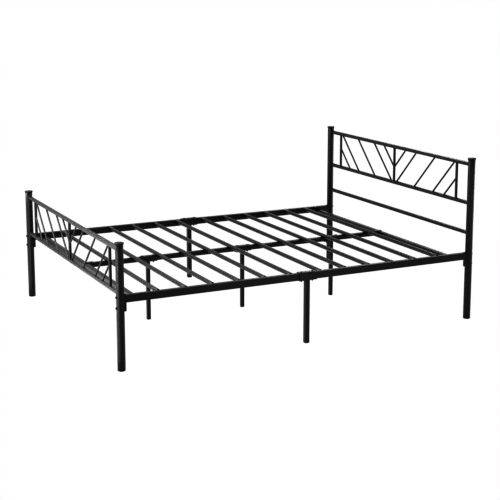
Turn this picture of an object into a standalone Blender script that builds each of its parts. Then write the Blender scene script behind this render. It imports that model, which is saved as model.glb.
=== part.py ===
"""Metal bed frame, queen size, flat-pack steel tube construction.

Metres, +Z up.  Origin: centre of the footprint, on the floor.
+Y points to the headboard, -Y to the footboard, +X to the right-hand side
of someone who stands at the foot and looks at the headboard.

Two end panels (headboard and footboard) stand on round posts.  Two side
rails, each in two halves, bolt to the posts and meet in a sleeve that is
welded on a square leg at mid-length.  A square centre rail with three legs
runs under twelve round slats and hooks over two square cross members.
"""
import bpy
import bmesh
import math
from mathutils import Vector, Matrix

# ------------------------------------------------------------------ sizes
GAP = 0.0003                 # assembly gap between touching pieces

POST_X = 0.780               # post centres, left and right
POST_Y = 1.040               # post centres, foot and head
POST_R = 0.020               # post outer radius
POST_WALL = 0.0015
HEAD_TOP = 0.921             # top of the head post caps
FOOT_TOP = 0.649             # top of the foot post caps
CAP_R = 0.0235
CAP_H = 0.012
FOOT_PAD_H = 0.008           # visible height of the plastic post feet
PLUG_DEPTH = 0.022           # how far caps and feet reach into a tube

RAIL_R = 0.011               # round rails of both end panels
RAIL_WALL = 0.0012
HEAD_TOP_RAIL_Z = 0.8845
HEAD_MID_RAIL_Z = 0.6636
HEAD_LOW_RAIL_Z = 0.4942
FOOT_TOP_RAIL_Z = 0.6110
FOOT_LOW_RAIL_Z = 0.3900
UPRIGHT_R = 0.0075
UPRIGHT_X = 0.643            # outer uprights; a third one stands at x = 0
ROD_R = 0.0045               # diagonal rods, all at 45 degrees
ROD_OFFSETS = (0.132, 0.324, 0.516)      # full rods: x where they cross mid-height
ROD_SHORT_TOP = 0.018        # short rod from the top rail to the centre upright
ROD_SHORT_LOW = 0.627        # short rod from the outer upright to the lower rail

SIDE_W = 0.025               # side rail tube, width and height
SIDE_Z0, SIDE_Z1 = 0.347, 0.385
SIDE_WALL = 0.0015
BRACKET_Z0 = 0.3035          # the end bracket hangs below the rail
BRACKET_DEPTH = 0.0080       # along the rail, beyond the post's skin
BRACKET_PLATE = 0.003

SLAT_R = 0.011
SLAT_WALL = 0.0010
SLAT_STUD_R = SLAT_R - SLAT_WALL - GAP
SLAT_STUD_LEN = 0.020
SLAT_FIRST, SLAT_SECOND, SLAT_PITCH, SLATS_PER_HALF = 0.088, 0.240, 0.1488, 6

CENTRE_W = 0.025             # centre rail and cross members: square tube
CENTRE_Z1 = 0.366
CENTRE_Z0 = CENTRE_Z1 - CENTRE_W
CENTRE_WALL = 0.0015
CROSS_Y = {"foot": 0.954, "head": 0.9405}   # |y| of the two cross members
CROSS_Z0, CROSS_Z1 = CENTRE_Z0, CENTRE_Z1
TAB_T = 0.003                # tab that hooks over a cross member
SLAT_Z = CENTRE_Z1 + GAP + SLAT_R        # slats lie on the centre rail

SLEEVE_LEN = 0.104           # joint sleeve on each mid leg
SLEEVE_WALL = 0.003
SLEEVE_BOLT_Y = 0.033
SIDE_LEG_W = 0.025           # square legs
CENTRE_LEG_W = 0.020
CENTRE_LEG_Y = {"foot": 0.589, "head": 0.598}   # |y| of the outer centre legs
LEG_WALL = 0.0015
LEG_PAD_H = 0.006

CORNER_BOLT_Z = (0.374, 0.320)
BOLT_R = 0.0040
BOLT_HEAD_R = 0.0065
BOLT_HEAD_H = 0.0035
SLEEVE_BOLT_R = 0.0030
SLEEVE_HEAD_R = 0.0060
SLEEVE_HEAD_H = 0.0030
NUT_R = 0.0060
NUT_H = 0.0040

# ------------------------------------------------------------- clean scene
for _o in list(bpy.data.objects):
    bpy.data.objects.remove(_o, do_unlink=True)


# ---------------------------------------------------------------- helpers
def material(name, color, roughness, metallic):
    m = bpy.data.materials.new(name)
    m.use_nodes = True
    b = m.node_tree.nodes["Principled BSDF"]
    b.inputs["Base Color"].default_value = (*color, 1.0)
    b.inputs["Roughness"].default_value = roughness
    b.inputs["Metallic"].default_value = metallic
    m.diffuse_color = (*color, 1.0)
    return m


POWDER = material("black_powder_coat", (0.012, 0.012, 0.013), 0.42, 0.0)
PLASTIC = material("black_plastic", (0.010, 0.010, 0.010), 0.55, 0.0)
BLACK_STEEL = material("black_bolt_steel", (0.014, 0.014, 0.015), 0.35, 0.6)


def finish(name, bm, mat, round_piece=True, sharp=35.0):
    """Turn a bmesh into a named object."""
    bmesh.ops.remove_doubles(bm, verts=bm.verts, dist=1e-6)
    bmesh.ops.recalc_face_normals(bm, faces=bm.faces)
    me = bpy.data.meshes.new(name)
    bm.to_mesh(me)
    bm.free()
    me.materials.append(mat)
    if round_piece:
        me.shade_smooth()
        me.set_sharp_from_angle(angle=math.radians(sharp))
    ob = bpy.data.objects.new(name, me)
    bpy.context.scene.collection.objects.link(ob)
    return ob


def frame_z(p0, p1):
    """Matrix that carries +Z onto the direction p0 -> p1, placed at p0."""
    d = (Vector(p1) - Vector(p0))
    q = d.to_track_quat("Z", "Y")
    return Matrix.Translation(Vector(p0)) @ q.to_matrix().to_4x4(), d.length


def lathe(bm, profile, seg, mat4, phase=0.5):
    """Closed body of revolution.  profile: (radius, height) points; a first
    or last radius of zero closes on the axis, a profile that starts and ends
    at the same point makes a ring."""
    ring_loop = profile[0] == profile[-1]
    pts = profile[:-1] if ring_loop else profile
    rows = []
    for r, h in pts:
        if r <= 1e-9:
            rows.append([bm.verts.new(mat4 @ Vector((0, 0, h)))])
        else:
            rows.append([bm.verts.new(mat4 @ Vector((
                r * math.cos(2 * math.pi * (i + phase) / seg),
                r * math.sin(2 * math.pi * (i + phase) / seg), h)))
                for i in range(seg)])
    n = len(rows)
    for k in range(n if ring_loop else n - 1):
        a, b = rows[k], rows[(k + 1) % n]
        for i in range(seg):
            j = (i + 1) % seg
            if len(a) == 1:
                bm.faces.new((a[0], b[j], b[i]))
            elif len(b) == 1:
                bm.faces.new((a[i], a[j], b[0]))
            else:
                bm.faces.new((a[i], a[j], b[j], b[i]))


def rod_bm(p0, p1, r, seg):
    bm = bmesh.new()
    m, length = frame_z(p0, p1)
    lathe(bm, [(0, 0), (r, 0), (r, length), (0, length)], seg, m)
    return bm


def tube_bm(p0, p1, r, wall, seg):
    bm = bmesh.new()
    m, length = frame_z(p0, p1)
    ri = r - wall
    lathe(bm, [(r, 0), (r, length), (ri, length), (ri, 0), (r, 0)], seg, m)
    return bm


def box_bm(x0, x1, y0, y1, z0, z1):
    bm = bmesh.new()
    bmesh.ops.create_cube(bm, size=1.0)
    for v in bm.verts:
        v.co = Vector(((x0 + x1) / 2 + v.co.x * (x1 - x0),
                       (y0 + y1) / 2 + v.co.y * (y1 - y0),
                       (z0 + z1) / 2 + v.co.z * (z1 - z0)))
    return bm


def rounded_rect(w, h, r, n=2):
    """Corner-rounded rectangle, counter-clockwise, centred."""
    out = []
    for cx, cy, a0 in ((w / 2 - r, h / 2 - r, 0.0), (-w / 2 + r, h / 2 - r, 90.0),
                       (-w / 2 + r, -h / 2 + r, 180.0), (w / 2 - r, -h / 2 + r, 270.0)):
        for i in range(n):
            a = math.radians(a0 + 90.0 * i / (n - 1))
            out.append((cx + r * math.cos(a), cy + r * math.sin(a)))
    return out


def extrude_ring_bm(outline, hole, mat4, h0, h1):
    """Prism of an outline with a hole of the same point count (a tube), or
    a solid prism when hole is None.  Outline lies in XY, height along Z."""
    bm = bmesh.new()
    lo = [bm.verts.new(mat4 @ Vector((x, y, h0))) for x, y in outline]
    hi = [bm.verts.new(mat4 @ Vector((x, y, h1))) for x, y in outline]
    n = len(outline)
    for i in range(n):
        j = (i + 1) % n
        bm.faces.new((lo[i], lo[j], hi[j], hi[i]))
    if hole is None:
        bm.faces.new(list(reversed(lo)))
        bm.faces.new(hi)
    else:
        lo2 = [bm.verts.new(mat4 @ Vector((x, y, h0))) for x, y in hole]
        hi2 = [bm.verts.new(mat4 @ Vector((x, y, h1))) for x, y in hole]
        for i in range(n):
            j = (i + 1) % n
            bm.faces.new((lo2[j], lo2[i], hi2[i], hi2[j]))
            bm.faces.new((lo[j], lo[i], lo2[i], lo2[j]))
            bm.faces.new((hi[i], hi[j], hi2[j], hi2[i]))
    return bm


def square_tube_bm(w, h, wall, corner, mat4, h0, h1):
    """Square or rectangular tube along the local Z axis."""
    return extrude_ring_bm(rounded_rect(w, h, corner),
                           rounded_rect(w - 2 * wall, h - 2 * wall, max(corner - wall, 0.0006)),
                           mat4, h0, h1)


ALONG_Y = Matrix(((1, 0, 0, 0), (0, 0, 1, 0), (0, -1, 0, 0), (0, 0, 0, 1)))   # local Z -> +Y
ALONG_X = Matrix(((0, 0, 1, 0), (1, 0, 0, 0), (0, 1, 0, 0), (0, 0, 0, 1)))    # local Z -> +X


def temp(bm):
    return finish("tmp", bm, POWDER, False)


def boolean(target, tool, op):
    """Apply one exact boolean and drop the tool."""
    mod = target.modifiers.new("b", "BOOLEAN")
    mod.operation = op
    mod.solver = "EXACT"
    mod.object = tool
    dg = bpy.context.evaluated_depsgraph_get()
    me = bpy.data.meshes.new_from_object(target.evaluated_get(dg))
    target.modifiers.clear()
    old = target.data
    target.data = me
    bpy.data.meshes.remove(old)
    tool_me = tool.data
    bpy.data.objects.remove(tool, do_unlink=True)
    bpy.data.meshes.remove(tool_me)


def union(target, bm):
    boolean(target, temp(bm), "UNION")


def cut(target, bm):
    boolean(target, temp(bm), "DIFFERENCE")


def tidy(ob, name, mat, sharp=35.0):
    """Merge slivers, name the object and set its finish after booleans."""
    bm = bmesh.new()
    bm.from_mesh(ob.data)
    bmesh.ops.remove_doubles(bm, verts=bm.verts, dist=2e-6)
    bmesh.ops.dissolve_limit(bm, angle_limit=math.radians(0.05), verts=bm.verts, edges=bm.edges)
    bmesh.ops.triangulate(bm, faces=[f for f in bm.faces if len(f.verts) > 4])
    bmesh.ops.recalc_face_normals(bm, faces=bm.faces)
    bm.to_mesh(ob.data)
    bm.free()
    ob.name = name
    ob.data.name = name
    ob.data.materials.clear()
    ob.data.materials.append(mat)
    for p in ob.data.polygons:
        p.material_index = 0
    ob.data.shade_smooth()
    ob.data.set_sharp_from_angle(angle=math.radians(sharp))
    return ob


# ------------------------------------------------------------ end panels
ENDS = {"foot": (-1, FOOT_TOP), "head": (1, HEAD_TOP)}
SIDES = {"left": -1, "right": 1}

for end, (sy, top) in ENDS.items():
    for side, sx in SIDES.items():
        x, y = sx * POST_X, sy * POST_Y
        # post: a drawn tube between the plastic foot and the plastic cap
        post = temp(tube_bm((x, y, FOOT_PAD_H + GAP), (x, y, top - CAP_H - GAP),
                            POST_R, POST_WALL, 20))
        for z in CORNER_BOLT_Z:          # two bolt holes right through
            cut(post, rod_bm((x, y - 0.03, z), (x, y + 0.03, z), BOLT_R + GAP, 8))
        tidy(post, f"{end}_post_{side}", POWDER)

        # cap: low dome on a flared rim, with a plug inside the tube
        bm = bmesh.new()
        rp = POST_R - POST_WALL - GAP
        zc = top - CAP_H
        lathe(bm, [(0, zc - PLUG_DEPTH), (rp - 0.001, zc - PLUG_DEPTH), (rp, zc - PLUG_DEPTH + 0.003),
                   (rp, zc), (POST_R + 0.0002, zc), (CAP_R, zc + 0.0060), (CAP_R, zc + 0.0090),
                   (CAP_R - 0.0020, zc + 0.0110), (0, top)],
              20, Matrix.Translation((x, y, 0)))
        finish(f"{end}_post_cap_{side}", bm, PLASTIC)

        # foot: plastic glide with a chamfered sole and a plug
        bm = bmesh.new()
        lathe(bm, [(0, 0), (POST_R - 0.003, 0), (POST_R - 0.0004, 0.0022), (POST_R - 0.0002, FOOT_PAD_H),
                   (rp, FOOT_PAD_H), (rp, FOOT_PAD_H + PLUG_DEPTH - 0.003),
                   (rp - 0.001, FOOT_PAD_H + PLUG_DEPTH), (0, FOOT_PAD_H + PLUG_DEPTH)],
              20, Matrix.Translation((x, y, 0)))
        finish(f"{end}_post_foot_{side}", bm, PLASTIC)


def cope(ob, y):
    """Cut rail ends to the round of the posts, with the assembly gap."""
    for sx in (-1, 1):
        cut(ob, rod_bm((sx * POST_X, y, 0.0), (sx * POST_X, y, 1.0), POST_R + GAP, 20))


def panel(name, y, z_top, z_low):
    """Two round rails, three uprights and ten diagonal rods, welded up."""
    zm = (z_top + z_low) / 2
    half = (z_top - z_low) / 2
    body = temp(rod_bm((-POST_X, y, z_top), (POST_X, y, z_top), RAIL_R, 12))
    union(body, rod_bm((-UPRIGHT_X, y, z_low), (-UPRIGHT_X, y, z_top), UPRIGHT_R, 10))
    union(body, rod_bm((-POST_X, y, z_low), (POST_X, y, z_low), RAIL_R, 12))
    for x in (0.0, UPRIGHT_X):
        union(body, rod_bm((x, y, z_low), (x, y, z_top), UPRIGHT_R, 10))
    for sx in (-1, 1):
        for xm in ROD_OFFSETS:
            union(body, rod_bm((sx * (xm - half), y, z_low), (sx * (xm + half), y, z_top), ROD_R, 6))
        # short rod: centre upright up to the top rail
        z0 = zm - ROD_SHORT_TOP
        union(body, rod_bm((0.0, y, z0), (sx * (ROD_SHORT_TOP + half), y, z_top), ROD_R, 6))
        # short rod: outer upright down to the lower rail
        z1 = zm + (UPRIGHT_X - ROD_SHORT_LOW)
        union(body, rod_bm((sx * (ROD_SHORT_LOW - half), y, z_low), (sx * UPRIGHT_X, y, z1), ROD_R, 6))
    for z in (z_top, z_low):
        cut(body, rod_bm((-POST_X - 0.01, y, z), (POST_X + 0.01, y, z), RAIL_R - RAIL_WALL, 10))
    cope(body, y)
    return tidy(body, name, POWDER)


panel("headboard_panel", POST_Y, HEAD_TOP_RAIL_Z, HEAD_MID_RAIL_Z)
panel("footboard_panel", -POST_Y, FOOT_TOP_RAIL_Z, FOOT_LOW_RAIL_Z)

low_rail = temp(tube_bm((-POST_X, POST_Y, HEAD_LOW_RAIL_Z), (POST_X, POST_Y, HEAD_LOW_RAIL_Z),
                        RAIL_R, RAIL_WALL, 12))
cope(low_rail, POST_Y)
tidy(low_rail, "headboard_lower_rail", POWDER)

# ------------------------------------------------------------- side rails
slat_ys = [SLAT_FIRST] + [SLAT_SECOND + SLAT_PITCH * i for i in range(SLATS_PER_HALF - 1)]
zc_side = (SIDE_Z0 + SIDE_Z1) / 2
rail_end = POST_Y - POST_R - GAP - BRACKET_DEPTH       # |y| where tube meets bracket

for side, sx in SIDES.items():
    for end, (sy, _top) in ENDS.items():
        x = sx * POST_X
        place = Matrix.Translation((x, 0, zc_side)) @ ALONG_Y
        y0, y1 = sorted((sy * GAP / 2, sy * (rail_end + 0.001)))
        rail = temp(square_tube_bm(SIDE_W, SIDE_Z1 - SIDE_Z0, SIDE_WALL, 0.003, place, y0, y1))
        # end bracket: a folded channel, web on the tube, flanges to the post
        ya, yb = sorted((sy * rail_end, sy * (POST_Y - 0.006)))
        union(rail, box_bm(x - SIDE_W / 2, x + SIDE_W / 2, ya, yb, BRACKET_Z0, SIDE_Z1))
        ya, yb = sorted((sy * (rail_end + BRACKET_PLATE), sy * POST_Y))
        cut(rail, box_bm(x - SIDE_W / 2 + BRACKET_PLATE, x + SIDE_W / 2 - BRACKET_PLATE,
                         ya, yb, BRACKET_Z0 - 0.01, SIDE_Z1 + 0.01))
        cut(rail, rod_bm((x, sy * POST_Y, 0.2), (x, sy * POST_Y, 0.5), POST_R + GAP, 20))
        # threaded holes of the corner bolts, through the web
        for z in CORNER_BOLT_Z:
            ya, yb = sorted((sy * (rail_end - 0.012), sy * POST_Y))
            cut(rail, rod_bm((x, ya, z), (x, yb, z), BOLT_R + GAP, 8))
        # vertical hole of the sleeve bolt
        yb = sy * SLEEVE_BOLT_Y
        cut(rail, rod_bm((x, yb, SIDE_Z0 - 0.01), (x, yb, SIDE_Z1 + 0.01), SLEEVE_BOLT_R + GAP, 8))
        # studs that the slat tubes slip over, welded on the inner wall
        for y in slat_ys:
            xi = sx * (POST_X - SIDE_W / 2)
            stud = rod_bm((xi + sx * 0.0008, sy * y, SLAT_Z), (xi - sx * SLAT_STUD_LEN, sy * y, SLAT_Z),
                          SLAT_STUD_R, 8)
            union(rail, stud)
        tidy(rail, f"side_rail_{side}_{end}", POWDER)

# ------------------------------------------------------------------ slats
slat_x = POST_X - SIDE_W / 2 - GAP
ordered = sorted([-y for y in slat_ys] + slat_ys)
slat_mesh = None
for i, y in enumerate(ordered):
    if slat_mesh is None:
        ob = finish("slat_01", tube_bm((-slat_x, 0, 0), (slat_x, 0, 0), SLAT_R, SLAT_WALL, 14), POWDER)
        slat_mesh = ob.data
        slat_mesh.name = "slat"
    else:
        ob = bpy.data.objects.new(f"slat_{i + 1:02d}", slat_mesh)
        bpy.context.scene.collection.objects.link(ob)
    ob.location = (0, y, SLAT_Z)

# ---------------------------------------------- cross members, centre rail
for end, (sy, _top) in ENDS.items():
    cy = CROSS_Y[end]
    zc = (CROSS_Z0 + CROSS_Z1) / 2
    place = Matrix.Translation((0, sy * cy, zc)) @ ALONG_X
    cross = temp(square_tube_bm(CENTRE_W, CENTRE_W, CENTRE_WALL, 0.0025, place,
                                -slat_x + 0.001, slat_x - 0.001))
    # end plates that screw to the inner walls of the side rails
    for sx in (-1, 1):
        xa, xb = sorted((sx * (slat_x - 0.003), sx * slat_x))
        union(cross, box_bm(xa, xb, sy * cy - 0.0135, sy * cy + 0.0135,
                            CROSS_Z0 + 0.0008, SIDE_Z1 - 0.006))
    # one drain hole, so that the closed tube is open
    cut(cross, rod_bm((0.10, sy * cy, CROSS_Z0 - 0.005), (0.10, sy * cy, CROSS_Z0 + 0.005), 0.003, 8))
    tidy(cross, f"cross_member_{end}", POWDER)

    place = Matrix.Translation((0, 0, (CENTRE_Z0 + CENTRE_Z1) / 2)) @ ALONG_Y
    y_end = cy - CENTRE_W / 2 - GAP
    y0, y1 = sorted((sy * GAP / 2, sy * y_end))
    crail = temp(square_tube_bm(CENTRE_W, CENTRE_W, CENTRE_WALL, 0.0025, place, y0, y1))
    # tab welded on the rail's top, lapping over the cross member
    hw = CENTRE_W / 2 - 0.0015
    ya, yb = sorted((sy * (y_end - 0.030), sy * (y_end - 0.0005)))
    union(crail, box_bm(-hw, hw, ya, yb, CENTRE_Z1 - 0.0008, CENTRE_Z1 + GAP + TAB_T))
    ya, yb = sorted((sy * (y_end - 0.0290), sy * (cy + CENTRE_W / 2)))
    union(crail, box_bm(-hw + 0.0005, hw - 0.0005, ya, yb, CENTRE_Z1 + GAP, CENTRE_Z1 + GAP + TAB_T - 0.0002))
    leg_y = CENTRE_LEG_Y[end]
    for yb in (SLEEVE_BOLT_Y, leg_y - SLEEVE_BOLT_Y, leg_y + SLEEVE_BOLT_Y):
        cut(crail, rod_bm((0, sy * yb, CENTRE_Z0 - 0.01), (0, sy * yb, CENTRE_Z1 + 0.01),
                          SLEEVE_BOLT_R + GAP, 8))
    tidy(crail, f"centre_rail_{end}", POWDER)


# -------------------------------------------------- mid legs with sleeves
def leg(name, x, y, leg_w, rail_w, z0, z1, short_top):
    """Square leg with a welded sleeve that holds the rail.  short_top keeps
    the sleeve's top wall clear of a slat."""
    place = Matrix.Translation((x, y, (z0 + z1) / 2)) @ ALONG_Y
    wi, hi = rail_w + 2 * GAP, z1 - z0 + 2 * GAP
    sleeve = temp(extrude_ring_bm(rounded_rect(wi + 2 * SLEEVE_WALL, hi + 2 * SLEEVE_WALL, 0.004),
                                  rounded_rect(wi, hi, 0.0012), place,
                                  -SLEEVE_LEN / 2, SLEEVE_LEN / 2))
    zb = z0 - GAP - SLEEVE_WALL
    ztop = z1 + GAP + SLEEVE_WALL
    if short_top:
        for sy in (-1, 1):
            ya, yb = sorted((y + sy * 0.041, y + sy * (SLEEVE_LEN / 2 + 0.01)))
            cut(sleeve, box_bm(x - 0.03, x + 0.03, ya, yb, z1 - 0.003, ztop + 0.01))
    # weld nuts under the sleeve
    for sy in (-1, 1):
        yb = y + sy * SLEEVE_BOLT_Y
        union(sleeve, rod_bm((x, yb, zb - NUT_H), (x, yb, zb + 0.001), NUT_R, 6))
    # leg tube, with its plastic glide as a solid end
    tube = extrude_ring_bm(rounded_rect(leg_w, leg_w, 0.0025),
                           None, Matrix.Translation((x, y, 0)), 0.0, zb + 0.001)
    union(sleeve, tube)
    hole = rounded_rect(leg_w - 2 * LEG_WALL, leg_w - 2 * LEG_WALL, 0.001)
    cut(sleeve, extrude_ring_bm(hole, None, Matrix.Translation((x, y, 0)), LEG_PAD_H, zb - 0.0005))
    # vent hole through the sleeve's floor into the leg
    cut(sleeve, rod_bm((x, y, zb - 0.004), (x, y, z0), 0.004, 8))
    for sy in (-1, 1):
        yb = y + sy * SLEEVE_BOLT_Y
        cut(sleeve, rod_bm((x, yb, zb - NUT_H - 0.005), (x, yb, ztop + 0.01), SLEEVE_BOLT_R + GAP, 8))
    tidy(sleeve, name, POWDER)
    return zb, ztop


def bolt(name, p_head, direction, head_r, head_h, shank_r, length):
    """Round-headed bolt; p_head is the centre of the seat under the head."""
    d = Vector(direction)
    m, _ = frame_z(Vector(p_head), Vector(p_head) + d)
    bm = bmesh.new()
    lathe(bm, [(0, -head_h), (head_r * 0.72, -head_h), (head_r, -head_h * 0.40), (head_r, 0),
               (shank_r, 0), (shank_r, length), (0, length)], 8, m)
    finish(name, bm, BLACK_STEEL)


legs = {}
for side, sx in SIDES.items():
    legs[f"side_leg_{side}"] = leg(f"side_leg_{side}", sx * POST_X, 0.0, SIDE_LEG_W, SIDE_W,
                                   SIDE_Z0, SIDE_Z1, False) + (sx * POST_X, 0.0)
for nm, y in (("foot", -CENTRE_LEG_Y["foot"]), ("middle", 0.0), ("head", CENTRE_LEG_Y["head"])):
    legs[f"centre_leg_{nm}"] = leg(f"centre_leg_{nm}", 0.0, y, CENTRE_LEG_W, CENTRE_W,
                                   CENTRE_Z0, CENTRE_Z1, y != 0.0) + (0.0, y)

# sleeve bolts, dropped in from above
for nm, (zb, ztop, x, y) in legs.items():
    for tag, sy in (("a", -1), ("b", 1)):
        length = ztop + GAP - (zb - NUT_H) + 0.0035
        bolt(f"bolt_{nm}_{tag}", (x, y + sy * SLEEVE_BOLT_Y, ztop + GAP), (0, 0, -1),
             SLEEVE_HEAD_R, SLEEVE_HEAD_H, SLEEVE_BOLT_R, length)

# corner bolts, from the outside of each post into the rail bracket
for end, (sy, _top) in ENDS.items():
    for side, sx in SIDES.items():
        for tag, z in (("upper", CORNER_BOLT_Z[0]), ("lower", CORNER_BOLT_Z[1])):
            # the head's seat touches the round post on its centre line
            seat = sy * (POST_Y + POST_R + GAP)
            length = 2 * POST_R + BRACKET_DEPTH + 0.002
            bolt(f"bolt_{end}_{side}_{tag}", (sx * POST_X, seat, z), (0, -sy, 0),
                 BOLT_HEAD_R, BOLT_HEAD_H, BOLT_R, length)
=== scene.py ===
import math

import bpy
from mathutils import Matrix, Vector


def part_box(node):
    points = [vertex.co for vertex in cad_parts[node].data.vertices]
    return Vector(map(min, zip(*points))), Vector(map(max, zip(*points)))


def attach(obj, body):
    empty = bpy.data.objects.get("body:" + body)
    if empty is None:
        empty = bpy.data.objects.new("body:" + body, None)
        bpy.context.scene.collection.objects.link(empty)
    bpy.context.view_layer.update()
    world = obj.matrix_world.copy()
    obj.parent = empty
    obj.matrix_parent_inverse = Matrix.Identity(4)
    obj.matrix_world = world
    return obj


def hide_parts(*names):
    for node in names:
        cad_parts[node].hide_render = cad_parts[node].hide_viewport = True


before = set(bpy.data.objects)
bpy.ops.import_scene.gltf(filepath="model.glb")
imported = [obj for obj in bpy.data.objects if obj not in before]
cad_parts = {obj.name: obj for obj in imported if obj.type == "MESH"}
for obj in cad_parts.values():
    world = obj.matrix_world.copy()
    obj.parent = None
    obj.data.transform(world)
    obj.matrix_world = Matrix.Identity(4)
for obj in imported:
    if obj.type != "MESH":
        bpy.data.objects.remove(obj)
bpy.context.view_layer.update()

ROOT = "root"

# ------------------------------------------------------------------ sizes
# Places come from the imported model; these are the sections of the tubes.
GAP = 0.0003
POST_R, POST_WALL = 0.020, 0.0015
RAIL_R, UPRIGHT_R, ROD_R = 0.011, 0.0075, 0.0045
UPRIGHT_X = 0.643
ROD_OFFSETS = (0.132, 0.324, 0.516)
ROD_SHORT_TOP, ROD_SHORT_LOW = 0.018, 0.627
SIDE_W, SIDE_H = 0.025, 0.038
SLAT_R = 0.011
CENTRE_W = 0.025
SLEEVE_WALL = 0.003
PLATE = 0.003
SIDES = {"left": -1, "right": 1}
ENDS = {"foot": -1, "head": 1}


# ============================================================== materials
def new_mat(name):
    m = bpy.data.materials.new(name)
    m.use_nodes = True
    nt = m.node_tree
    return m, nt, nt.nodes["Principled BSDF"]


def link(nt, a, b):
    nt.links.new(a, b)


def noise(nt, vec, scale, detail=2.0, rough=0.5):
    n = nt.nodes.new("ShaderNodeTexNoise")
    n.inputs["Scale"].default_value = scale
    n.inputs["Detail"].default_value = detail
    n.inputs["Roughness"].default_value = rough
    link(nt, vec, n.inputs["Vector"])
    return n.outputs["Fac"]


def map_range(nt, val, a0, a1, b0, b1):
    n = nt.nodes.new("ShaderNodeMapRange")
    n.inputs["From Min"].default_value = a0
    n.inputs["From Max"].default_value = a1
    n.inputs["To Min"].default_value = b0
    n.inputs["To Max"].default_value = b1
    link(nt, val, n.inputs["Value"])
    return n.outputs["Result"]


def math_node(nt, op, a, b):
    n = nt.nodes.new("ShaderNodeMath")
    n.operation = op
    for i, v in enumerate((a, b)):
        if isinstance(v, (int, float)):
            n.inputs[i].default_value = v
        else:
            link(nt, v, n.inputs[i])
    return n.outputs[0]


def mix_color(nt, fac, c0, c1):
    n = nt.nodes.new("ShaderNodeMix")
    n.data_type = "RGBA"
    link(nt, fac, n.inputs["Factor"])
    for sock, c in ((n.inputs["A"], c0), (n.inputs["B"], c1)):
        if isinstance(c, tuple):
            sock.default_value = (*c, 1.0)
        else:
            link(nt, c, sock)
    return n.outputs["Result"]


def bump(nt, height, strength, distance, normal=None):
    n = nt.nodes.new("ShaderNodeBump")
    n.inputs["Strength"].default_value = strength
    n.inputs["Distance"].default_value = distance
    link(nt, height, n.inputs["Height"])
    if normal is not None:
        link(nt, normal, n.inputs["Normal"])
    return n.outputs["Normal"]


def edge_mask(nt, radius):
    """1 along convex and concave edges, 0 on open surface."""
    bev = nt.nodes.new("ShaderNodeBevel")
    bev.samples = 4
    bev.inputs["Radius"].default_value = radius
    geo = nt.nodes.new("ShaderNodeNewGeometry")
    dot = nt.nodes.new("ShaderNodeVectorMath")
    dot.operation = "DOT_PRODUCT"
    link(nt, bev.outputs["Normal"], dot.inputs[0])
    link(nt, geo.outputs["Normal"], dot.inputs[1])
    return map_range(nt, dot.outputs["Value"], 1.0, 0.86, 0.0, 1.0)


def powder_coat(name, dark=(0.0085, 0.0085, 0.0090), light=(0.0125, 0.0125, 0.0132),
                rough=(0.37, 0.46), peel=0.22, edge=True):
    """Semi-gloss black powder coat: orange-peel skin in two sizes, fine
    pigment speckle, cloudy gloss, and a painted highlight on the edges,
    where the colour is lighter in noisy patches and the roughness lower."""
    m, nt, b = new_mat(name)
    co = nt.nodes.new("ShaderNodeTexCoord").outputs["Object"]
    cloud = noise(nt, co, 5.0, 4.0, 0.55)
    speck = noise(nt, co, 1400.0, 1.0)
    peel_a = noise(nt, co, 620.0, 2.0, 0.45)
    peel_b = noise(nt, co, 170.0, 1.0, 0.4)
    tone = math_node(nt, "ADD", map_range(nt, cloud, 0.3, 0.7, 0.0, 0.7),
                     map_range(nt, speck, 0.55, 0.75, 0.0, 0.5))
    color = mix_color(nt, tone, dark, light)
    r = map_range(nt, noise(nt, co, 11.0, 5.0, 0.6), 0.3, 0.7, rough[0], rough[1])
    # painted highlight: along convex and concave edges the base colour is lightened in noisy patches, and the roughness
    # is lowered there
    if edge:
        mask = edge_mask(nt, 0.0012)
        edge_wear_and_highlight = math_node(nt, "MULTIPLY", mask, map_range(nt, noise(nt, co, 55.0, 4.0, 0.6), 0.42, 0.62, 0.15, 0.75))
        # lighter colour of the painted edge highlight
        color = mix_color(nt, edge_wear_and_highlight, color, (0.030, 0.030, 0.031))
        r = math_node(nt, "SUBTRACT", r, math_node(nt, "MULTIPLY", edge_wear_and_highlight, 0.07))
    link(nt, color, b.inputs["Base Color"])
    link(nt, r, b.inputs["Roughness"])
    n1 = bump(nt, peel_b, peel * 0.8, 0.0006)
    n2 = bump(nt, peel_a, peel, 0.00025, n1)
    link(nt, n2, b.inputs["Normal"])
    b.inputs["IOR"].default_value = 1.48
    b.inputs["Coat Weight"].default_value = 0.10
    b.inputs["Coat Roughness"].default_value = 0.30
    return m


def moulded_plastic(name):
    """Satin black plastic with a fine mould grain and faint flow marks."""
    m, nt, b = new_mat(name)
    co = nt.nodes.new("ShaderNodeTexCoord").outputs["Object"]
    flow = noise(nt, co, 28.0, 3.0, 0.5)
    grain = noise(nt, co, 2300.0, 2.0, 0.6)
    tex = nt.nodes.new("ShaderNodeTexVoronoi")
    tex.inputs["Scale"].default_value = 900.0
    link(nt, co, tex.inputs["Vector"])
    color = mix_color(nt, map_range(nt, flow, 0.35, 0.65, 0.0, 1.0), (0.0075, 0.0075, 0.0078), (0.0130, 0.0130, 0.0134))
    link(nt, color, b.inputs["Base Color"])
    link(nt, map_range(nt, flow, 0.3, 0.7, 0.42, 0.56), b.inputs["Roughness"])
    n1 = bump(nt, tex.outputs["Distance"], 0.10, 0.0003)
    n2 = bump(nt, grain, 0.16, 0.0001, n1)
    link(nt, n2, b.inputs["Normal"])
    b.inputs["IOR"].default_value = 1.46
    return m


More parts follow.
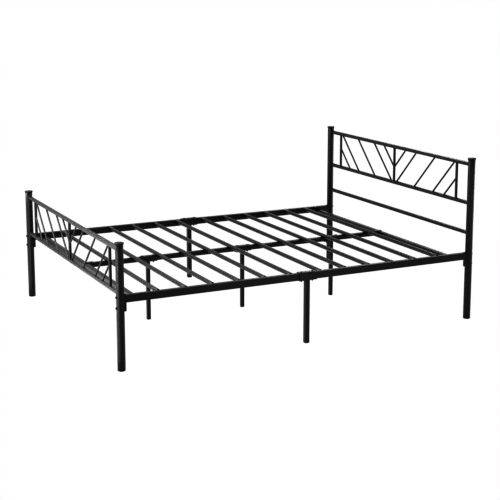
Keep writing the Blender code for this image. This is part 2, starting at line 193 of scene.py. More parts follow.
def bolt_steel(name):
    """Black-oxide bolt steel: darker pits, brighter worn edges."""
    m, nt, b = new_mat(name)
    co = nt.nodes.new("ShaderNodeTexCoord").outputs["Object"]
    pits = noise(nt, co, 700.0, 3.0, 0.6)
    smear = noise(nt, co, 90.0, 4.0, 0.6)
    color = mix_color(nt, map_range(nt, pits, 0.35, 0.65, 0.0, 1.0), (0.010, 0.010, 0.011), (0.028, 0.028, 0.030))
    edge_wear_and_highlight = math_node(nt, "MULTIPLY", edge_mask(nt, 0.0006), map_range(nt, smear, 0.4, 0.6, 0.2, 0.9))
    color = mix_color(nt, edge_wear_and_highlight, color, (0.075, 0.075, 0.078))
    link(nt, color, b.inputs["Base Color"])
    link(nt, map_range(nt, smear, 0.3, 0.7, 0.28, 0.46), b.inputs["Roughness"])
    link(nt, bump(nt, pits, 0.22, 0.00012), b.inputs["Normal"])
    b.inputs["Metallic"].default_value = 0.55
    return m


TUBE = powder_coat("powder_coat_tube")
SQUARE = powder_coat("powder_coat_square_tube", rough=(0.37, 0.46), peel=0.24)
ROD = powder_coat("powder_coat_rod", dark=(0.0080, 0.0080, 0.0085), light=(0.0115, 0.0115, 0.0120),
                  rough=(0.38, 0.46), peel=0.20, edge=False)
WELD = powder_coat("powder_coat_weld", dark=(0.0080, 0.0080, 0.0085), light=(0.0140, 0.0140, 0.0146),
                   rough=(0.42, 0.56), peel=0.45, edge=False)
PLASTIC = moulded_plastic("moulded_black_plastic")
STEEL = bolt_steel("black_oxide_steel")


# ============================================================ mesh makers
def weigh_normals(me, limit):
    """Corner normals weighted by face area, so broad flat faces shade flat
    right up to their rounded edges."""
    around = [[] for _ in me.vertices]
    faces = [(Vector(p.normal), p.area, list(p.vertices)) for p in me.polygons]
    for n, area, verts in faces:
        for v in verts:
            around[v].append((n, area))
    c = math.cos(math.radians(limit))
    out = []
    for n, area, verts in faces:
        for v in verts:
            total = Vector()
            for q, w in around[v]:
                if q.dot(n) > c:
                    total += q * w
            out.append(total.normalized())
    me.normals_split_custom_set(out)


class Shell:
    """Collects closed shells and turns them into one named piece."""

    def __init__(self):
        self.v, self.f = [], []

    def add(self, verts, faces):
        """One closed shell, turned so that its faces look out."""
        k = len(self.v)
        pts = [Vector(p) for p in verts]
        mid = sum(pts, Vector()) / len(pts)
        vol = 0.0
        for face in faces:
            a = pts[face[0]] - mid
            for i in range(1, len(face) - 1):
                vol += a.dot((pts[face[i]] - mid).cross(pts[face[i + 1]] - mid))
        self.v += [tuple(p) for p in pts]
        self.f += [tuple(i + k for i in (face if vol > 0 else reversed(face))) for face in faces]

    def rings(self, rings, closed=False):
        """Skin a list of equal rings; a ring of one point closes an end, and
        open ends are filled unless the rings form a loop."""
        verts, start = [], []
        for r in rings:
            start.append(len(verts))
            verts += r
        faces = []
        n = len(rings)
        for k in range(n if closed else n - 1):
            a, b = rings[k], rings[(k + 1) % n]
            sa, sb = start[k], start[(k + 1) % n]
            m = max(len(a), len(b))
            for i in range(m):
                j = (i + 1) % m
                if len(a) == 1:
                    faces.append((sa, sb + j, sb + i))
                elif len(b) == 1:
                    faces.append((sa + i, sa + j, sb))
                else:
                    faces.append((sa + i, sa + j, sb + j, sb + i))
        if not closed:
            if len(rings[0]) > 1:
                faces.append(tuple(reversed(range(start[0], start[0] + len(rings[0])))))
            if len(rings[-1]) > 1:
                faces.append(tuple(range(start[-1], start[-1] + len(rings[-1]))))
        self.add(verts, faces)

    def piece(self, name, mat, nodes=(), sharp=38.0):
        me = bpy.data.meshes.new(name)
        me.from_pydata(self.v, [], self.f)
        me.materials.append(mat)
        me.shade_smooth()
        me.set_sharp_from_angle(angle=math.radians(sharp))
        if mat is SQUARE:
            weigh_normals(me, sharp)
        ob = bpy.data.objects.new(name, me)
        bpy.context.scene.collection.objects.link(ob)
        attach(ob, ROOT)
        if nodes:
            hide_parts(*([nodes] if isinstance(nodes, str) else nodes))
        return ob


def basis(p0, p1):
    """Matrix that carries +Z onto the direction p0 -> p1, placed at p0."""
    d = Vector(p1) - Vector(p0)
    return Matrix.Translation(Vector(p0)) @ d.to_track_quat("Z", "Y").to_matrix().to_4x4(), d.length


ALONG_Y = Matrix(((1, 0, 0, 0), (0, 0, 1, 0), (0, -1, 0, 0), (0, 0, 0, 1)))
ALONG_X = Matrix(((0, 0, 1, 0), (1, 0, 0, 0), (0, 1, 0, 0), (0, 0, 0, 1)))


def circle(r, seg):
    """Points of a circle; r is a number or a function of the angle."""
    out = []
    for i in range(seg):
        a = 2 * math.pi * i / seg
        rr = r(a) if callable(r) else r
        out.append((rr * math.cos(a), rr * math.sin(a)))
    return out


def turned(shell, profile, seg, mat4, closed=False):
    """Body of revolution.  profile: (radius or function, height)."""
    rings = []
    for r, h in profile:
        if not callable(r) and r <= 1e-9:
            rings.append([mat4 @ Vector((0, 0, h))])
        else:
            rings.append([mat4 @ Vector((x, y, h)) for x, y in circle(r, seg)])
    shell.rings(rings, closed)


def soft(r0, h0, r1, h1, n=4, convex=True):
    """Quarter-round between two profile points."""
    out = []
    for i in range(1, n + 1):
        t = math.pi / 2 * i / n
        if convex:
            out.append((r0 + (r1 - r0) * math.sin(t), h0 + (h1 - h0) * (1 - math.cos(t))))
        else:
            out.append((r0 + (r1 - r0) * (1 - math.cos(t)), h0 + (h1 - h0) * math.sin(t)))
    return out


def round_tube(shell, p0, p1, r, wall, seg, ease=0.0004, steps=1):
    """Hollow round tube with eased ends."""
    m, length = basis(p0, p1)
    ri = r - wall
    mids = [(r, ease + (length - 2 * ease) * i / steps) for i in range(steps + 1)]
    prof = [(ri, 0.0), (r - ease, 0.0), (r - ease * 0.3, ease * 0.3)] + mids + \
           [(r - ease * 0.3, length - ease * 0.3), (r - ease, length), (ri, length)]
    turned(shell, prof, seg, m, closed=True)


def round_bar(shell, p0, p1, r, seg, steps=1):
    m, length = basis(p0, p1)
    turned(shell, [(0, 0)] + [(r, length * i / steps) for i in range(steps + 1)] + [(0, length)], seg, m)


def rounded_rect(w, h, r, n=7):
    out = []
    for cx, cy, a0 in ((w / 2 - r, h / 2 - r, 0.0), (-w / 2 + r, h / 2 - r, 90.0),
                       (-w / 2 + r, -h / 2 + r, 180.0), (w / 2 - r, -h / 2 + r, 270.0)):
        for i in range(n):
            a = math.radians(a0 + 90.0 * i / (n - 1))
            out.append((cx + r * math.cos(a), cy + r * math.sin(a)))
    return out


def rect_bar(shell, w, h, r, mat4, h0, h1, ease=0.0006, n=7):
    """Closed prism of a rounded rectangle with eased ends."""
    rings = []
    for inset, hh in ((ease, h0), (ease * 0.3, h0 + ease * 0.3), (0.0, h0 + ease),
                      (0.0, h1 - ease), (ease * 0.3, h1 - ease * 0.3), (ease, h1)):
        rr = max(r - inset, 0.0003)
        rings.append([mat4 @ Vector((x, y, hh)) for x, y in rounded_rect(w - 2 * inset, h - 2 * inset, rr, n)])
    shell.rings(rings)


def rect_tube(shell, w, h, wall, r, mat4, h0, h1, ease=0.0006, n=7):
    """Hollow rounded-rectangle tube with eased outer ends."""
    rings = []
    ri = max(r - wall, 0.0006)
    inner = rounded_rect(w - 2 * wall, h - 2 * wall, ri, n)
    rings.append([mat4 @ Vector((x, y, h0)) for x, y in inner])
    for inset, hh in ((ease, h0), (ease * 0.3, h0 + ease * 0.3), (0.0, h0 + ease),
                      (0.0, h1 - ease), (ease * 0.3, h1 - ease * 0.3), (ease, h1)):
        rings.append([mat4 @ Vector((x, y, hh))
                      for x, y in rounded_rect(w - 2 * inset, h - 2 * inset, max(r - inset, 0.0004), n)])
    rings.append([mat4 @ Vector((x, y, h1)) for x, y in inner])
    shell.rings(rings, closed=True)


def bead(shell, path, r, ripples=0, seg=8, flat=1.0):
    """Weld bead: a closed loop of small overlapping scales round a path."""
    pts = [Vector(p) for p in path]
    n = len(pts)
    c = sum(pts, Vector()) / n
    rings = []
    for i, p in enumerate(pts):
        t = (pts[(i + 1) % n] - pts[i - 1]).normalized()
        u = (p - c) - t * (p - c).dot(t)
        u.normalize()
        w = t.cross(u)
        rr = r * (1.0 + (0.13 * abs(math.sin(math.pi * ripples * i / n)) if ripples else 0.0))
        rings.append([p + u * (rr * flat * math.cos(a)) + w * (rr * math.sin(a))
                      for a in (2 * math.pi * k / seg for k in range(seg))])
    shell.rings(rings, closed=True)


def joint_ring(p, d, r, c, a, big, n=40):
    """Closed curve where a bar of radius r from point p (heading away along
    d from the tube it is welded to) meets a tube of radius big on the axis
    through c along a."""
    p, d, c, a = Vector(p), Vector(d).normalized(), Vector(c), Vector(a).normalized()
    u = d.orthogonal().normalized()
    w = d.cross(u)
    dp = d - a * d.dot(a)
    out = []
    for i in range(n):
        t = 2 * math.pi * i / n
        q = p + u * (r * math.cos(t)) + w * (r * math.sin(t)) - c
        qp = q - a * q.dot(a)
        aa, bb, cc = dp.dot(dp), 2 * qp.dot(dp), qp.dot(qp) - big * big
        disc = max(bb * bb - 4 * aa * cc, 0.0)
        s = (-bb + math.sqrt(disc)) / (2 * aa)
        out.append(c + q + d * s)
    return out


def grow_ring(ring, k):
    c = sum(ring, Vector()) / len(ring)
    return [c + (p - c) * k for p in ring]


# ================================================================== posts
POSTS = {}
for end, sy in ENDS.items():
    for side, sx in SIDES.items():
        lo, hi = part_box(f"{end}_post_{side}")
        x, y = (lo.x + hi.x) / 2, (lo.y + hi.y) / 2
        clo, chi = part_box(f"{end}_post_cap_{side}")
        cap_r = (chi.x - clo.x) / 2
        pad_top = lo.z - GAP
        POSTS[end, side] = (x, y, lo.z, hi.z)
        at = Matrix.Translation((x, y, 0))
        s = Shell()
        round_tube(s, (x, y, lo.z), (x, y, hi.z), POST_R, POST_WALL, 72, 0.0005, 12)
        s.piece(f"{end}_post_{side}_tube", TUBE, f"{end}_post_{side}")

        # cap: plug in the tube, flared rim, low dome with a ring groove
        rp = POST_R - POST_WALL - GAP
        z0, top = hi.z + GAP, chi.z
        s = Shell()
        prof = [(0, z0 - 0.022), (rp - 0.0010, z0 - 0.022), (rp, z0 - 0.019), (rp, z0 - 0.0001),
                (POST_R - 0.0001, z0 - 0.0001 + 0.0002), (POST_R + 0.0003, z0 + 0.0008)]
        for i in range(1, 9):                       # flare
            t = i / 8
            prof.append((POST_R + 0.0003 + (cap_r - POST_R - 0.0003) * (t ** 1.7), z0 + 0.0008 + 0.0047 * t))
        prof.append((cap_r, z0 + 0.0085))
        prof += soft(cap_r, z0 + 0.0085, cap_r - 0.0022, z0 + 0.0107, 6, convex=False)
        dome = [(1.0, 0.0), (0.985, 0.02), (0.965, 0.0), (0.94, 0.10), (0.85, 0.32), (0.72, 0.55),
                (0.56, 0.76), (0.38, 0.90), (0.2, 0.975)]
        for k, f in dome[1:]:
            prof.append(((cap_r - 0.0022) * k, z0 + 0.0107 + (top - z0 - 0.0107) * f))
        prof.append((0, top))
        turned(s, prof, 72, at)
        s.piece(f"{end}_post_cap_{side}_moulding", PLASTIC, f"{end}_post_cap_{side}", sharp=50)

        # foot: plastic glide with a rolled sole edge and a parting groove
        s = Shell()
        prof = [(0, 0.0004), (0.0085, 0.0004), (0.0092, 0.0), (POST_R - 0.0034, 0.0)]
        prof += soft(POST_R - 0.0034, 0.0, POST_R - 0.0004, 0.0030, 6)
        prof += [(POST_R - 0.0003, 0.0050), (POST_R - 0.0008, 0.0054), (POST_R - 0.0008, 0.0058),
                 (POST_R - 0.0002, 0.0062), (POST_R - 0.0001, pad_top - 0.0003), (POST_R - 0.0006, pad_top),
                 (rp, pad_top), (rp, pad_top + 0.019), (rp - 0.001, pad_top + 0.022), (0, pad_top + 0.022)]
        turned(s, prof, 64, at)
        s.piece(f"{end}_post_foot_{side}_glide", PLASTIC, f"{end}_post_foot_{side}", sharp=50)


# ============================================================= end panels
def panel(name, y):
    node = f"{name}_panel"
    lo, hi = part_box(node)
    z_top, z_low = hi.z - RAIL_R, lo.z + RAIL_R
    px = POSTS["head", "right"][0]
    zm, half = (z_top + z_low) / 2, (z_top - z_low) / 2
    reach = px - POST_R + 0.0016
    weld = Shell()
    for tag, z in (("top_rail", z_top), ("low_rail", z_low)):
        s = Shell()
        round_bar(s, (-reach, y, z), (reach, y, z), RAIL_R, 56, 24)
        s.piece(f"{name}_{tag}", TUBE, node)
        for sx in (-1, 1):
            ring = joint_ring((sx * px, y, z), (-sx, 0, 0), RAIL_R, (sx * px, y, 0), (0, 0, 1), POST_R, 64)
            bead(weld, grow_ring(ring, 1.015), 0.0013, 30, 8)
    bars = []
    for tag, x in (("left", -UPRIGHT_X), ("centre", 0.0), ("right", UPRIGHT_X)):
        s = Shell()
        round_bar(s, (x, y, z_low + 0.004), (x, y, z_top - 0.004), UPRIGHT_R, 36, 6)
        s.piece(f"{name}_upright_{tag}", TUBE, node)
        for z, d in ((z_top, -1), (z_low, 1)):
            ring = joint_ring((x, y, z), (0, 0, d), UPRIGHT_R, (x, y, z), (1, 0, 0), RAIL_R, 48)
            bead(weld, grow_ring(ring, 1.02), 0.0010, 22, 8)
    k = 0
    for side, sx in SIDES.items():
        rods = [((sx * (xm - half), z_low), (sx * (xm + half), z_top), "rail", "rail") for xm in ROD_OFFSETS]
        rods.append(((0.0, zm - ROD_SHORT_TOP), (sx * (ROD_SHORT_TOP + half), z_top), "up", "rail"))
        rods.append(((sx * (ROD_SHORT_LOW - half), z_low), (sx * UPRIGHT_X, zm + UPRIGHT_X - ROD_SHORT_LOW),
                     "rail", "up"))
        for (xa, za), (xb, zb), ka, kb in rods:
            k += 1
            a, b = Vector((xa, y, za)), Vector((xb, y, zb))
            d = (b - a).normalized()
            s = Shell()
            round_bar(s, a + d * 0.004, b - d * 0.004, ROD_R, 24, 8)
            s.piece(f"{name}_rod_{k:02d}", ROD, node)
            for p, dd, kind in ((a, d, ka), (b, -d, kb)):
                if kind == "rail":
                    ring = joint_ring(p, dd, ROD_R, p, (1, 0, 0), RAIL_R, 40)
                else:
                    ring = joint_ring(p, dd, ROD_R, p, (0, 0, 1), UPRIGHT_R, 40)
                bead(weld, grow_ring(ring, 1.02), 0.0008, 18, 8)
    weld.piece(f"{name}_weld_beads", WELD, node)


HEAD_Y = POSTS["head", "right"][1]
FOOT_Y = POSTS["foot", "right"][1]
panel("headboard", HEAD_Y)
panel("footboard", FOOT_Y)

lo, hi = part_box("headboard_lower_rail")
px = POSTS["head", "right"][0]
zc = (lo.z + hi.z) / 2
s = Shell()
round_bar(s, (-px + POST_R - 0.0016, HEAD_Y, zc), (px - POST_R + 0.0016, HEAD_Y, zc), RAIL_R, 56, 24)
s.piece("headboard_lower_rail_tube", TUBE, "headboard_lower_rail")
s = Shell()
for sx in (-1, 1):
    ring = joint_ring((sx * px, HEAD_Y, zc), (-sx, 0, 0), RAIL_R, (sx * px, HEAD_Y, 0), (0, 0, 1), POST_R, 64)
    bead(s, grow_ring(ring, 1.015), 0.0013, 30, 8)
s.piece("headboard_lower_rail_weld_beads", WELD, "headboard_lower_rail")


# ============================================================= side rails
for side, sx in SIDES.items():
    for end, sy in ENDS.items():
        node = f"side_rail_{side}_{end}"
        lo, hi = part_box(node)
        x, py = POSTS[end, side][0], POSTS[end, side][1]
        # the tube's top, from the sleeve round it: the studs stand prouder than it
        z1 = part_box(f"side_leg_{side}")[1].z - GAP - SLEEVE_WALL
        z0 = z1 - SIDE_H
        bz = lo.z
        rail_end = abs(py) - POST_R - GAP - 0.008
        zc = (z0 + z1) / 2
        s = Shell()
        ya, yb = sorted((sy * GAP / 2, sy * (rail_end + 0.001)))
        place = Matrix.Translation((x, 0, zc)) @ ALONG_Y
        rect_tube(s, SIDE_W, SIDE_H, 0.0015, 0.0032, place, ya, yb, 0.0005, 9)
        s.piece(f"{node}_tube", SQUARE, node)

        # folded channel bracket between the tube's end and the post
        s = Shell()
        a, t, r = SIDE_W / 2, PLATE, 0.0026
        rg = POST_R + GAP

        def cope(xx):
            return abs(py) - math.sqrt(rg * rg - xx * xx)

        def outline(back):
            y0 = rail_end + back
            pts = [(a, cope(a))]
            for i in range(7):
                q = math.radians(90 * i / 6)
                pts.append((a - r + r * math.cos(q), min(y0 + r - r * math.sin(q), cope(a) - 0.0002)))
            for i in range(7):
                q = math.radians(90 * i / 6)
                pts.append((-a + r - r * math.sin(q), min(y0 + r - r * math.cos(q), cope(a) - 0.0002)))
            pts.append((-a, cope(a)))
            for i in range(1, 4):
                xx = -a + t * i / 3
                pts.append((xx, cope(xx)))
            yi = min(y0 + t, cope(a - t) - 0.0004)
            pts += [(-a + t, yi + 0.0006), (-a + t + 0.0006, yi), (a - t - 0.0006, yi), (a - t, yi + 0.0006)]
            for i in range(3, 0, -1):
                xx = a - t * i / 3
                pts.append((xx, cope(xx)))
            return pts

        rings = []
        corner = 0.0042
        zs = [(bz + corner * (1 - math.cos(math.radians(90 * i / 6))), corner * (1 - math.sin(math.radians(90 * i / 6))))
              for i in range(7)]
        zs.append((z1, 0.0))
        for zz, back in zs:
            rings.append([Vector((x + px_, sy * py_, zz)) for px_, py_ in outline(back)])
        s.rings(rings)
        s.piece(f"{node}_bracket", SQUARE, node)

        s = Shell()                                  # studs that the slats slip over
        for k in range(1, 13):
            slo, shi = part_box(f"slat_{k:02d}")
            ys = (slo.y + shi.y) / 2
            if ys * sy > 0:
                xa = x - sx * (SIDE_W / 2 - 0.0012)
                xb = x - sx * (SIDE_W / 2 + 0.0196)
                m, ln = basis((xa, ys, (slo.z + shi.z) / 2), (xb, ys, (slo.z + shi.z) / 2))
                turned(s, [(0, 0), (0.0097, 0), (0.0097, ln - 0.002), (0.0085, ln), (0, ln)], 40, m)
        s.piece(f"{node}_studs", SQUARE, node)

        s = Shell()
        loop = [Vector((x + u, sy * (rail_end - 0.0001), zc + v))
                for u, v in rounded_rect(SIDE_W + 0.0004, SIDE_H + 0.0004, 0.0034, 12)]
        dense = []
        for i in range(len(loop)):
            p, q = loop[i], loop[(i + 1) % len(loop)]
            m = max(1, int((q - p).length / 0.0010))
            dense += [p.lerp(q, j / m) for j in range(m)]
        bead(s, dense, 0.0009, 46, 8)
        s.piece(f"{node}_weld_bead", WELD, node)

# ================================================================== slats
for i in range(1, 13):
    node = f"slat_{i:02d}"
    lo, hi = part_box(node)
    y, z = (lo.y + hi.y) / 2, (lo.z + hi.z) / 2
    s = Shell()
    round_tube(s, (lo.x, y, z), (hi.x, y, z), SLAT_R, 0.0010, 48, 0.0004, 24)
    s.piece(f"{node}_tube", TUBE, node)


# ============================================ cross members, centre rails
def eased_plate(shell, x0, x1, y0, y1, z0, z1, axis, corner, ease=0.0004):
    """Plate with rounded corners in its own plane and eased edges; axis is
    the direction through its thickness."""
    c = Vector(((x0 + x1) / 2, (y0 + y1) / 2, (z0 + z1) / 2))
    dx, dy, dz = x1 - x0, y1 - y0, z1 - z0
    if axis == "Z":
        rect_bar(shell, dx, dy, corner, Matrix.Translation(c), -dz / 2, dz / 2, ease)
    elif axis == "X":
        rect_bar(shell, dy, dz, corner, Matrix.Translation(c) @ ALONG_X, -dx / 2, dx / 2, ease)
    else:
        rect_bar(shell, dx, dz, corner, Matrix.Translation(c) @ ALONG_Y, -dy / 2, dy / 2, ease)


def perimeter(points, step=0.0010):
    out = []
    for i in range(len(points)):
        p, q = points[i], points[(i + 1) % len(points)]
        m = max(1, int((q - p).length / step))
        out += [p.lerp(q, j / m) for j in range(m)]
    return out


for end, sy in ENDS.items():
    node = f"cross_member_{end}"
    lo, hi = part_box(node)
    y = (lo.y + hi.y) / 2
    rail_lo, rail_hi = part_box(f"centre_rail_{end}")
    z0 = lo.z
    z1 = z0 + CENTRE_W
    s = Shell()
    rect_tube(s, CENTRE_W, CENTRE_W, 0.0015, 0.0030, Matrix.Translation((0, y, (z0 + z1) / 2)) @ ALONG_X,
              lo.x + 0.001, hi.x - 0.001, 0.0005, 8)
    s.piece(f"{node}_tube", SQUARE, node)
    s, w = Shell(), Shell()
    for sx in (-1, 1):
        xa, xb = sorted((sx * (hi.x - PLATE), sx * hi.x))
        eased_plate(s, xa, xb, y - 0.0135, y + 0.0135, z0 + 0.0008, hi.z, "X", 0.0030)
        loop = [Vector((sx * (hi.x - PLATE - 0.0002), y + u, (z0 + z1) / 2 + v))
                for u, v in rounded_rect(CENTRE_W + 0.0004, CENTRE_W + 0.0004, 0.0032, 10)]
        bead(w, perimeter(loop), 0.0009, 36, 8)
    s.piece(f"{node}_end_plates", SQUARE, node)
    w.piece(f"{node}_weld_beads", WELD, node)

    node = f"centre_rail_{end}"
    y_end = abs(y) - CENTRE_W / 2 - GAP
    s = Shell()
    ya, yb = sorted((sy * GAP / 2, sy * y_end))
    rect_tube(s, CENTRE_W, CENTRE_W, 0.0015, 0.0030, Matrix.Translation((0, 0, (z0 + z1) / 2)) @ ALONG_Y,
              ya, yb, 0.0005, 8)
    s.piece(f"{node}_tube", SQUARE, node)
    s = Shell()
    ya, yb = sorted((sy * (y_end - 0.030), sy * (abs(y) + CENTRE_W / 2)))
    eased_plate(s, -0.011, 0.011, ya, yb, z1 + GAP, rail_hi.z, "Z", 0.0035)
    # weld pad that joins the tab to the rail's top wall
    yc = sy * (y_end - 0.0155)
    eased_plate(s, -0.0095, 0.0095, yc - 0.013, yc + 0.013, z1 - 0.0005, z1 + 0.0006, "Z", 0.002, 0.0002)
    s.piece(f"{node}_tab", SQUARE, node)
    s = Shell()
    loop = [Vector((u, sy * (y_end - 0.0155) + v, z1 + 0.0003)) for u, v in rounded_rect(0.0222, 0.0270, 0.0030, 8)]
    bead(s, perimeter(loop), 0.0008, 34, 8)
    s.piece(f"{node}_weld_bead", WELD, node)


# ================================================================= legs
def hexagon(across, turn=0.0):
    half = across / 2

    def r(a):
        b = (a + turn) % (math.pi / 3)
        return half / math.cos(b - math.pi / 6)
    return r


def leg(node, leg_w, rail_w, rail_h, cut_back):
    lo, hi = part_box(node)
    x = (lo.x + hi.x) / 2
    y = (lo.y + hi.y) / 2
    ztop = hi.z
    z1 = ztop - SLEEVE_WALL - GAP
    z0 = z1 - rail_h
    zb = z0 - GAP - SLEEVE_WALL
    sl = (hi.y - lo.y) / 2
    wi, hh = rail_w + 2 * GAP, rail_h + 2 * GAP
    place = Matrix.Translation((x, y, (z0 + z1) / 2)) @ ALONG_Y
    # sleeve: outer skin follows a longer floor and, on centre legs, a
    # shorter roof that leaves room for the slats
    s = Shell()
    outer = rounded_rect(wi + 2 * SLEEVE_WALL, hh + 2 * SLEEVE_WALL, 0.0042, 9)
    inner = rounded_rect(wi, hh, 0.0014, 9)
    roof = z1 - 0.003 - (z0 + z1) / 2

    def ring(pts, h, inset=0.0):
        out = []
        for u, v in pts:
            uu = u * (1 - inset / (wi / 2 + SLEEVE_WALL))
            vv = v * (1 - inset / (hh / 2 + SLEEVE_WALL))
            p = place @ Vector((uu, vv, h))
            if cut_back:
                # the roof is shorter than the walls, with a short slope between
                up = max(0.0, min(1.0, (p.z - (z0 + z1) / 2 - roof) / 0.0022))
                p = Vector((p.x, y + (p.y - y) * (1 - 0.011 * up / sl), p.z))
            out.append(p)
        return out
    e = 0.0006
    rings = [ring(inner, -sl), ring(outer, -sl, e), ring(outer, -sl + e * 0.3, e * 0.3), ring(outer, -sl + e)]
    steps = 12
    for i in range(1, steps):
        rings.append(ring(outer, -sl + e + (2 * sl - 2 * e) * i / steps))
    rings += [ring(outer, sl - e), ring(outer, sl - e * 0.3, e * 0.3), ring(outer, sl, e), ring(inner, sl)]
    for i in range(steps - 1, 0, -1):
        rings.append(ring(inner, -sl + 2 * sl * i / steps))
    s.rings(rings, closed=True)
    s.piece(f"{node}_sleeve", SQUARE, node)

    # leg tube and its weld bead under the sleeve
    s = Shell()
    place_z = Matrix.Translation((x, y, 0))
    rect_bar(s, leg_w, leg_w, 0.0030, place_z, 0.0042, zb + 0.0006, 0.0004, 9)
    s.piece(f"{node}_tube", SQUARE, node)
    s = Shell()
    loop = [Vector((x + u, y + v, zb - 0.0001)) for u, v in rounded_rect(leg_w + 0.0006, leg_w + 0.0006, 0.0033, 10)]
    bead(s, perimeter(loop), 0.0013, 34, 8)
    s.piece(f"{node}_weld_bead", WELD, node)

    # plastic glide: flange under the tube's wall with a rolled sole edge
    s = Shell()
    rings = []
    w = leg_w - 0.0002
    for inset, z in ((0.0042, 0.0003), (0.0036, 0.0), (0.0016, 0.0), (0.0007, 0.0003), (0.0002, 0.0010), (0.0, 0.0020),
                     (0.0, 0.0037), (0.0003, 0.0040), (0.0014, 0.0040), (0.0019, 0.0041), (0.0019, 0.0180)):
        rings.append([place_z @ Vector((u, v, z))
                      for u, v in rounded_rect(w - 2 * inset, w - 2 * inset, max(0.0029 - inset, 0.0006), 9)])
    s.rings(rings)
    s.piece(f"{node}_glide", PLASTIC, node)

    # weld nuts, with a chamfered hexagon and a collar
    s = Shell()
    for tag, sy in (("a", -1), ("b", 1)):
        blo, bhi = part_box("bolt_" + node + "_" + tag)
        yb = (blo.y + bhi.y) / 2
        hx = hexagon(0.0104, math.pi / 6)
        zn = zb - 0.0040

        def chamfer(a, hx=hx):
            return min(hx(a), 0.00535)
        turned(s, [(0.0032, zb + 0.0003), (0.0064, zb + 0.0003), (0.0064, zb - 0.0006), (0.0058, zb - 0.0009),
                   (hx, zb - 0.0009), (hx, zn + 0.0007), (chamfer, zn), (0.0037, zn), (0.0032, zn + 0.0006)],
               36, Matrix.Translation((x, yb, 0)), closed=True)
    s.piece(f"{node}_weld_nuts", SQUARE, node)
    return x, y, zb, ztop


for side in SIDES:
    leg(f"side_leg_{side}", 0.025, SIDE_W, SIDE_H, False)
for nm in ("foot", "middle", "head"):
    leg(f"centre_leg_{nm}", 0.020, CENTRE_W, CENTRE_W, nm != "middle")


# ================================================================= bolts
def bolt(node, seat, direction, head_r, head_h, shank_r, length, across, threaded):
    """Button-head bolt with a hexagon socket and a threaded tip."""
    m, _ = basis(seat, Vector(seat) + Vector(direction))
    hx = hexagon(across)
    s = Shell()
    prof = [(0, -head_h * 0.30), (hx, -head_h * 0.34)]
    prof += [(hx, -head_h * 0.96), (lambda a: hx(a) + 0.00025, -head_h)]
    for i in range(0, 8):                           # dome
        q = math.radians(8 + 74 * i / 7)
        prof.append((head_r * (0.62 + 0.38 * math.sin(q)), -head_h * (0.10 + 0.90 * math.cos(q)) ** 1.0))
    prof += [(head_r, -0.0002), (head_r - 0.0003, 0.0), (shank_r, 0.0)]
    plain = length - threaded
    prof.append((shank_r, plain))
    pitch = 0.0010
    k = int(threaded / pitch)
    for i in range(k):
        prof += [(shank_r - 0.00045, plain + pitch * (i + 0.5)), (shank_r, plain + pitch * (i + 1))]
    prof += [(shank_r - 0.0008, length), (0, length)]
    turned(s, prof, 42, m)
    s.piece(f"{node}_screw", STEEL, node, sharp=30)


for nm in ("side_leg_left", "side_leg_right", "centre_leg_foot", "centre_leg_middle", "centre_leg_head"):
    for tag in ("a", "b"):
        lo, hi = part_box(f"bolt_{nm}_{tag}")
        x, y = (lo.x + hi.x) / 2, (lo.y + hi.y) / 2
        bolt(f"bolt_{nm}_{tag}", (x, y, hi.z - 0.0030), (0, 0, -1), 0.0060, 0.0030, 0.0030,
             hi.z - 0.0030 - lo.z, 0.0040, 0.009)
for end, sy in ENDS.items():
    for side in SIDES:
        for tag in ("upper", "lower"):
            lo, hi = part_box(f"bolt_{end}_{side}_{tag}")
            x, z = (lo.x + hi.x) / 2, (lo.z + hi.z) / 2
            seat = hi.y - 0.0035 if sy > 0 else lo.y + 0.0035
            bolt(f"bolt_{end}_{side}_{tag}", (x, seat, z), (0, -sy, 0), 0.0065, 0.0035, 0.0040,
                 (hi.y - lo.y) - 0.0035, 0.0050, 0.012)

# ========================================================== floor, camera
def emitter(name, strength):
    m = bpy.data.materials.new(name)
    m.use_nodes = True
    t = m.node_tree
    t.nodes.clear()
    o = t.nodes.new("ShaderNodeOutputMaterial")
    e = t.nodes.new("ShaderNodeEmission")
    e.inputs["Color"].default_value = (1, 1, 1, 1)
    e.inputs["Strength"].default_value = strength
    link(t, e.outputs[0], o.inputs["Surface"])
    m.cycles.emission_sampling = "NONE"
    return m


def stage_mesh(name, verts, faces, mat, seen):
    me = bpy.data.meshes.new(name)
    me.from_pydata(verts, [], faces)
    me.materials.append(mat)
    ob = bpy.data.objects.new(name, me)
    bpy.context.scene.collection.objects.link(ob)
    ob.visible_camera = seen
    ob.visible_diffuse = ob.visible_glossy = not seen
    ob.visible_transmission = ob.visible_volume_scatter = False
    ob.visible_shadow = not seen
    return ob


# a white paper floor and sweep for the eye, and a dimmer floor for the light
# that it throws back onto the paint
R = 60.0
square = [(-R, -R, 0), (R, -R, 0), (R, R, 0), (-R, R, 0)]
stage_mesh("floor", [(x, y, -0.0004) for x, y, _ in square], [(0, 1, 2, 3)], emitter("pale_floor", 1.0), True)
stage_mesh("floor_bounce", [(x, y, -0.0010) for x, y, _ in square], [(0, 1, 2, 3)],
           emitter("floor_light", 1.734), False)
wall, faces = [], []
for i in range(24):
    a = 2 * math.pi * i / 24
    wall += [(40 * math.cos(a), 40 * math.sin(a), -1.0), (40 * math.cos(a), 40 * math.sin(a), 60.0)]
    faces.append((2 * i, (2 * i + 2) % 48, (2 * i + 3) % 48, 2 * i + 1))
faces.append(tuple(range(1, 48, 2)))
stage_mesh("backdrop", wall, faces, emitter("pale_backdrop", 1.0), True)

world = bpy.data.worlds.new("studio")
bpy.context.scene.world = world
world.use_nodes = True
world.node_tree.nodes["Background"].inputs["Color"].default_value = (1, 1, 1, 1)
world.node_tree.nodes["Background"].inputs["Strength"].default_value = 1.362


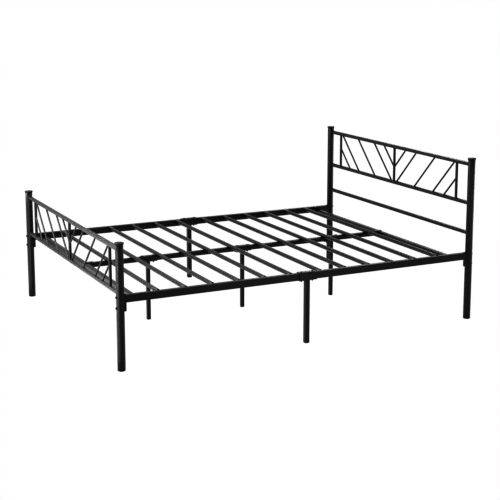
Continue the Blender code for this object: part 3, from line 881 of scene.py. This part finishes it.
def softbox(name, at, look, w, h, power):
    data = bpy.data.lights.new(name, "AREA")
    data.shape = "RECTANGLE"
    data.size, data.size_y = w, h
    data.energy = power
    ob = bpy.data.objects.new(name, data)
    ob.location = at
    ob.rotation_euler = (Vector(look) - Vector(at)).to_track_quat("-Z", "Y").to_euler()
    ob.visible_camera = False
    bpy.context.scene.collection.objects.link(ob)
    return ob


# soft panels on top of the even light: overhead ones, one behind the head, low ones
# in front of the foot end, weak ones at the left and right, and the lit floor
softbox("overhead_foot", (0.00, -1.65, 2.30), (0.00, -1.65, 0.00), 3.90, 1.10, 180.0)
softbox("overhead_head_left", (-1.30, 1.65, 2.30), (-1.30, 1.65, 0.00), 1.30, 1.10, 52.0)
softbox("behind_head", (0.00, 2.60, 0.45), (0.00, 0.00, 0.45), 4.00, 0.80, 30.0)
softbox("foot_left", (-1.76, -2.40, 0.95), (-1.76, 0.00, 0.95), 0.88, 0.70, 15.3)
softbox("foot_mid_left", (-0.88, -2.40, 0.95), (-0.88, 0.00, 0.95), 0.88, 0.70, 32.4)
softbox("foot_right_low", (0.88, -2.40, 0.31), (0.88, 0.00, 0.31), 0.88, 0.58, 20.6)
softbox("left_head_mid", (-2.20, 1.60, 0.95), (0.00, 1.60, 0.95), 0.90, 0.70, 2.9)
softbox("right_head_low", (2.40, 0.60, 0.41), (0.00, 0.60, 0.41), 1.20, 0.78, 6.2)
softbox("floor_glow", (0.00, -1.75, 0.01), (0.00, -1.75, 2.00), 2.40, 1.20, 15.9)

cam_data = bpy.data.cameras.new("camera")
cam = bpy.data.objects.new("camera", cam_data)
bpy.context.scene.collection.objects.link(cam)
cam.location = (6.1560, -2.9846, 1.9330)
cam.rotation_euler = (math.radians(90.0 - 10.718), 0.0, math.radians(63.749))
cam_data.sensor_width = 36.0
cam_data.lens = 86.621
cam_data.shift_x, cam_data.shift_y = 0.0, -0.10
cam_data.clip_start, cam_data.clip_end = 0.05, 200.0
bpy.context.scene.camera = cam

vs = bpy.context.scene.view_settings
vs.view_transform = "Standard"
vs.look = "None"
vs.exposure = 0.0
vs.gamma = 1.0
# The lights are set for a steep tone curve, which makes an edge's mix of dark paint
# and white paper an even blend for the eye, so thin rods keep their full width.
vs.use_curve_mapping = True
tone = vs.curve_mapping
curve = tone.curves[3]
for k in range(1, 26):
    tx = (k / 26.0) ** 1.4
    curve.points.new(tx, tx ** 2.2)
for pt in curve.points:
    pt.handle_type = "VECTOR"
tone.update()
